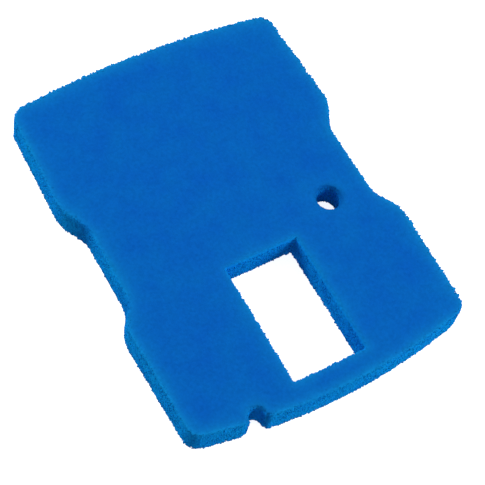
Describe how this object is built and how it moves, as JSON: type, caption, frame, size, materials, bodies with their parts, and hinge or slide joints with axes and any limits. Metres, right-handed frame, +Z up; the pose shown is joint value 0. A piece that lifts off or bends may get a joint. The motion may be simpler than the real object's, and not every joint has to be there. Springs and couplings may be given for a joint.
{
  "type": "sponge filter",
  "caption": "Flat open-cell foam filter pad with crowned ends, waisted sides, a rectangular window, a round pipe hole and a small notch in one end.",
  "frame": {"origin": "centre of the outline's bounding rectangle, on the underside", "axes": "+Z up through the foam's thickness, +Y along the length from the end with the window to the plain end, +X towards the side with the round hole"},
  "size_m": [0.2392, 0.32, 0.025],
  "materials": {
    "filter_foam": "matte"
  },
  "bodies": {
    "root": {"foam_pad": "filter_foam"}
  },
  "joints": []
}
